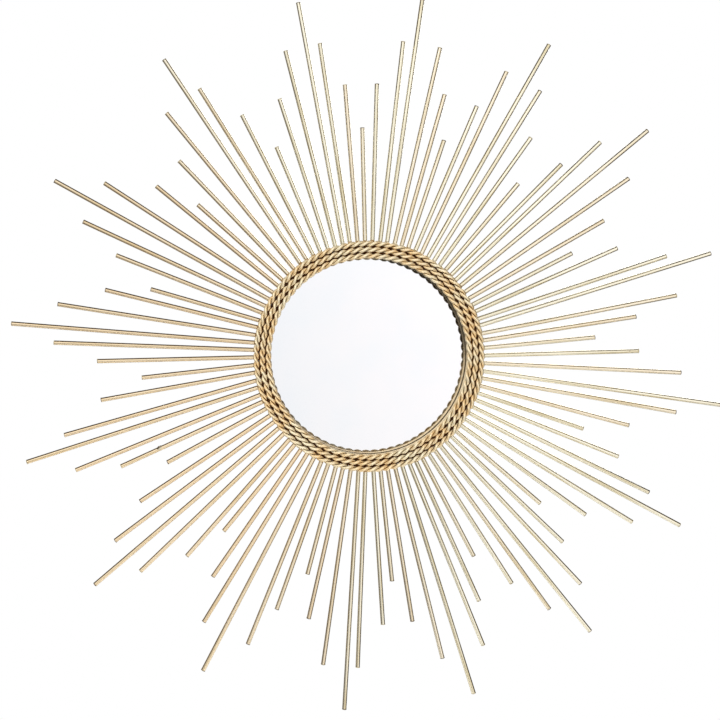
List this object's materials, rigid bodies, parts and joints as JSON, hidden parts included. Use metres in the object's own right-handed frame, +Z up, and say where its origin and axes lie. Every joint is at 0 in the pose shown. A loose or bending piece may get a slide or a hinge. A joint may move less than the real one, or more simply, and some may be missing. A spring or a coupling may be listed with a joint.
{
  "type": "sunburst wall mirror",
  "caption": "Round wall mirror in a ring of twisted-wire ropes, with thin gold rods of four lengths standing out all round like sun rays.",
  "frame": {"origin": "where the mirror's axis meets the wall plane", "axes": "+Z up, +X to the right seen from the front, +Y into the wall; the front faces -Y"},
  "size_m": [0.6559, 0.0288, 0.656],
  "materials": {
    "ray_steel": "satin pale gold paint over steel rod",
    "rope_wire": "satin warm gold paint over twisted steel wire, darker in the grooves",
    "hoop_steel": "satin gold paint over rolled steel strip",
    "mirror": "silvered float glass with a small bevel",
    "card": "grey-brown packing card",
    "board": "plain brown fibreboard",
    "fitting_steel": "zinc-plated steel",
    "fitting_brass": "brass-plated steel",
    "bumper_rubber": "matt black rubber"
  },
  "bodies": {
    "frame": {"back_hoop": "hoop_steel", "backing_board": "board", "bar_lug_left": "hoop_steel", "bar_lug_right": "hoop_steel", "bar_screw_left": "fitting_steel", "bar_screw_right": "fitting_steel", "bumper_lower_left": "bumper_rubber", "bumper_lower_right": "bumper_rubber", "bumper_upper_left": "bumper_rubber", "bumper_upper_right": "bumper_rubber", "button_lug_1": "hoop_steel", "button_lug_2": "hoop_steel", "button_lug_3": "hoop_steel", "button_lug_4": "hoop_steel", "button_rivet_1": "fitting_steel", "button_rivet_2": "fitting_steel", "button_rivet_3": "fitting_steel", "button_rivet_4": "fitting_steel", "front_hoop": "hoop_steel", "hanger_bar": "hoop_steel", "hanger_strap": "fitting_brass", "inner_rope_strand_a": "rope_wire", "inner_rope_strand_b": "rope_wire", "middle_rope_strand_a": "rope_wire", "middle_rope_strand_b": "rope_wire", "mirror_glass": "mirror", "outer_rope_strand_a": "rope_wire", "outer_rope_strand_b": "rope_wire", "ray_fan_01": "ray_steel", "ray_fan_02": "ray_steel", "ray_fan_03": "ray_steel", "ray_fan_04": "ray_steel", "ray_fan_05": "ray_steel", "ray_fan_06": "ray_steel", "ray_fan_07": "ray_steel", "ray_fan_08": "ray_steel", "ray_fan_09": "ray_steel", "ray_fan_10": "ray_steel", "ray_fan_11": "ray_steel", "ray_fan_12": "ray_steel", "ray_fan_13": "ray_steel", "ray_fan_14": "ray_steel", "ray_fan_15": "ray_steel", "ray_fan_16": "ray_steel", "spacer_card": "card", "strap_rivet": "fitting_brass"},
    "turn_button_1": {"turn_button_1": "fitting_steel"},
    "turn_button_2": {"turn_button_2": "fitting_steel"},
    "turn_button_3": {"turn_button_3": "fitting_steel"},
    "turn_button_4": {"turn_button_4": "fitting_steel"},
    "hanging_ring": {"hanging_ring": "fitting_brass"}
  },
  "joints": [
    {"name": "button_1_turn", "type": "hinge", "parent": "frame", "child": "turn_button_1", "pos_m": [0.09756, -0.00425, 0.02614], "axis": [0, 1, 0], "continuous": true},
    {"name": "button_2_turn", "type": "hinge", "parent": "frame", "child": "turn_button_2", "pos_m": [0.06492, -0.00425, -0.07737], "axis": [0, 1, 0], "continuous": true},
    {"name": "button_3_turn", "type": "hinge", "parent": "frame", "child": "turn_button_3", "pos_m": [-0.06492, -0.00425, -0.07737], "axis": [0, 1, 0], "continuous": true},
    {"name": "button_4_turn", "type": "hinge", "parent": "frame", "child": "turn_button_4", "pos_m": [-0.09756, -0.00425, 0.02614], "axis": [0, 1, 0], "continuous": true},
    {"name": "ring_swing", "type": "hinge", "parent": "frame", "child": "hanging_ring", "pos_m": [0, -0.0027, 0.08983], "axis": [1, 0, 0], "range_deg": [-160, 8]}
  ]
}
